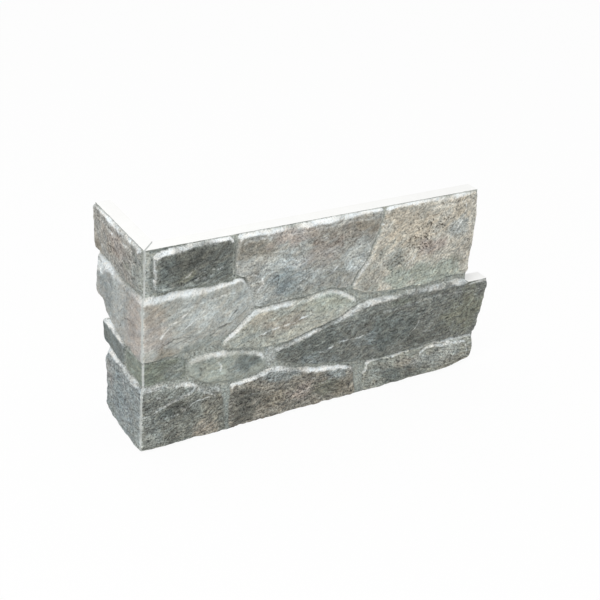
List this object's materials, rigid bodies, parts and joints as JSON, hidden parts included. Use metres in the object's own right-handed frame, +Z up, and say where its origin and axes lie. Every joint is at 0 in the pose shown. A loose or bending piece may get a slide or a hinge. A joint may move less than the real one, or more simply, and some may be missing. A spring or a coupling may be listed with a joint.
{
  "type": "stone-effect cladding corner",
  "caption": "L-shaped outside corner of stone-effect wall cladding: glazed porcelain tile with stepped ends, mitred at the arris and glued, ribbed flat back.",
  "frame": {"origin": "foot of the inner corner, where the two flat backs meet on the corner of the wall", "axes": "+X along the long front leg, +Y along the short return leg, +Z up; the stone faces look towards -Y and -X"},
  "size_m": [0.3146, 0.0914, 0.165],
  "materials": {
    "glazed_porcelain": "matt stone-effect glaze over a pale pressed body",
    "epoxy_adhesive": "pale stone-grey epoxy"
  },
  "bodies": {
    "root": {"front_leg": "glazed_porcelain", "return_leg": "glazed_porcelain", "mitre_adhesive": "epoxy_adhesive"}
  },
  "joints": []
}
